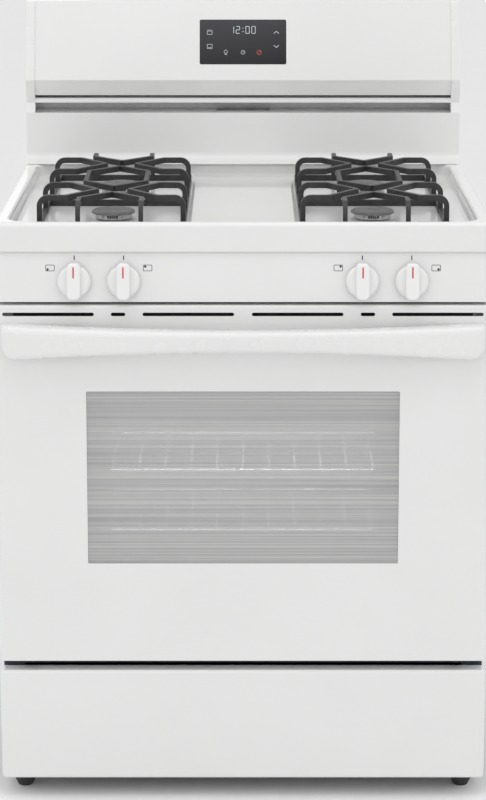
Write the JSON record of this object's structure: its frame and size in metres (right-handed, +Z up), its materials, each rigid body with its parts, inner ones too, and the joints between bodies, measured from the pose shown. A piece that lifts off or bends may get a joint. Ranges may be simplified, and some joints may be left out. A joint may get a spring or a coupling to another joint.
{
  "type": "freestanding gas range",
  "caption": "Freestanding gas range with sealed burners under cast grates, drop-down oven door, storage drawer and a raised backguard with clock display.",
  "frame": {"origin": "middle of the footprint on the floor", "axes": "+Z up, the front faces -Y, +X to the right seen from the front"},
  "size_m": [0.759, 0.728, 1.2],
  "materials": {
    "porcelain_white": "gloss",
    "white_plastic": "gloss",
    "knob_plastic": "gloss",
    "black_plastic": "matt",
    "steel_dark": "satin",
    "galvanised": "satin",
    "enamel_dark": "gloss",
    "chrome_wire": "polished",
    "steel_tube": "satin",
    "mineral_wool": "matt",
    "lamp_glass": "clear",
    "gasket": "woven",
    "cast_aluminium": "cast",
    "aluminium_tube": "drawn",
    "brass": "machined",
    "cap_enamel": "matt enamel",
    "ceramic_white": "glazed",
    "cast_iron": "satin enamel",
    "display_glass": "tinted",
    "window_glass": "printed with fine lines",
    "inner_glass": "clear",
    "circuit_board": "matt",
    "screw_steel": "plated"
  },
  "bodies": {
    "chassis": {"backguard_panel": "porcelain_white", "bake_burner": "steel_tube", "base_frame": "steel_dark", "broil_burner": "steel_tube", "burner_bases": "cast_aluminium", "burner_caps": "cap_enamel", "burner_heads": "cast_aluminium", "burner_supply_tubes": "aluminium_tube", "console_end_caps": "white_plastic", "console_panel": "porcelain_white", "console_rear_cover": "galvanised", "control_board": "circuit_board", "control_panel": "porcelain_white", "cooktop": "porcelain_white", "display_window": "display_glass", "door_gasket": "gasket", "drawer_rails": "steel_dark", "flue_duct": "galvanised", "front_frame": "enamel_dark", "gas_manifold": "steel_tube", "gas_valves": "brass", "hinge_receivers": "steel_dark", "leveling_legs": "black_plastic", "oven_floor_panel": "enamel_dark", "oven_insulation": "mineral_wool", "oven_lamp": "lamp_glass", "oven_liner": "enamel_dark", "panel_screws": "screw_steel", "power_cord_inlet": "black_plastic", "pressure_regulator": "cast_aluminium", "rack_supports": "chrome_wire", "rear_panel": "galvanised", "side_panel_left": "porcelain_white", "side_panel_right": "porcelain_white", "spark_electrodes": "ceramic_white", "temperature_sensor": "steel_tube"},
    "door": {"door_outer_panel": "porcelain_white", "door_window": "window_glass", "door_top_trim": "porcelain_white", "door_handle": "white_plastic", "door_liner": "enamel_dark", "door_inner_glass": "inner_glass", "door_insulation": "mineral_wool", "door_hinges": "steel_dark"},
    "drawer": {"drawer_front": "porcelain_white", "drawer_box": "galvanised", "drawer_runners": "black_plastic"},
    "rack_upper": {"rack_upper": "chrome_wire"},
    "rack_lower": {"rack_lower": "chrome_wire"},
    "grate_left": {"grate_left": "cast_iron"},
    "grate_right": {"grate_right": "cast_iron"},
    "stem_outer_left": {"valve_stem_outer_left": "brass"},
    "knob_outer_left": {"knob_outer_left": "knob_plastic"},
    "stem_inner_left": {"valve_stem_inner_left": "brass"},
    "knob_inner_left": {"knob_inner_left": "knob_plastic"},
    "stem_inner_right": {"valve_stem_inner_right": "brass"},
    "knob_inner_right": {"knob_inner_right": "knob_plastic"},
    "stem_outer_right": {"valve_stem_outer_right": "brass"},
    "knob_outer_right": {"knob_outer_right": "knob_plastic"}
  },
  "joints": [
    {"name": "door_hinge", "type": "hinge", "parent": "chassis", "child": "door", "pos_m": [0, -0.292, 0.246], "axis": [1, 0, 0], "range_deg": [0, 88], "stiffness_Nm_per_rad": 6, "springref_deg": -34.38},
    {"name": "drawer_slide", "type": "slide", "parent": "chassis", "child": "drawer", "axis": [0, -1, 0], "range_m": [0, 0.4]},
    {"name": "rack_upper_slide", "type": "slide", "parent": "chassis", "child": "rack_upper", "axis": [0, -1, 0], "range_m": [0, 0.03]},
    {"name": "rack_lower_slide", "type": "slide", "parent": "chassis", "child": "rack_lower", "axis": [0, -1, 0], "range_m": [0, 0.03]},
    {"name": "grate_left_lift", "type": "slide", "parent": "chassis", "child": "grate_left", "axis": [0, 0, 1], "range_m": [0, 0.12]},
    {"name": "grate_right_lift", "type": "slide", "parent": "chassis", "child": "grate_right", "axis": [0, 0, 1], "range_m": [0, 0.12]},
    {"name": "knob_turn_outer_left", "type": "hinge", "parent": "chassis", "child": "stem_outer_left", "pos_m": [-0.256, -0.31468, 0.832], "axis": [0, 0.9945, -0.1045], "range_deg": [-230, 0]},
    {"name": "knob_push_outer_left", "type": "slide", "parent": "stem_outer_left", "child": "knob_outer_left", "axis": [0, 0.9945, -0.1045], "range_m": [0, 0.003], "stiffness_N_per_m": 1500, "springref_m": -0.002},
    {"name": "knob_turn_inner_left", "type": "hinge", "parent": "chassis", "child": "stem_inner_left", "pos_m": [-0.181, -0.31468, 0.832], "axis": [0, 0.9945, -0.1045], "range_deg": [-230, 0]},
    {"name": "knob_push_inner_left", "type": "slide", "parent": "stem_inner_left", "child": "knob_inner_left", "axis": [0, 0.9945, -0.1045], "range_m": [0, 0.003], "stiffness_N_per_m": 1500, "springref_m": -0.002},
    {"name": "knob_turn_inner_right", "type": "hinge", "parent": "chassis", "child": "stem_inner_right", "pos_m": [0.181, -0.31468, 0.832], "axis": [0, 0.9945, -0.1045], "range_deg": [-230, 0]},
    {"name": "knob_push_inner_right", "type": "slide", "parent": "stem_inner_right", "child": "knob_inner_right", "axis": [0, 0.9945, -0.1045], "range_m": [0, 0.003], "stiffness_N_per_m": 1500, "springref_m": -0.002},
    {"name": "knob_turn_outer_right", "type": "hinge", "parent": "chassis", "child": "stem_outer_right", "pos_m": [0.256, -0.31468, 0.832], "axis": [0, 0.9945, -0.1045], "range_deg": [-230, 0]},
    {"name": "knob_push_outer_right", "type": "slide", "parent": "stem_outer_right", "child": "knob_outer_right", "axis": [0, 0.9945, -0.1045], "range_m": [0, 0.003], "stiffness_N_per_m": 1500, "springref_m": -0.002}
  ]
}
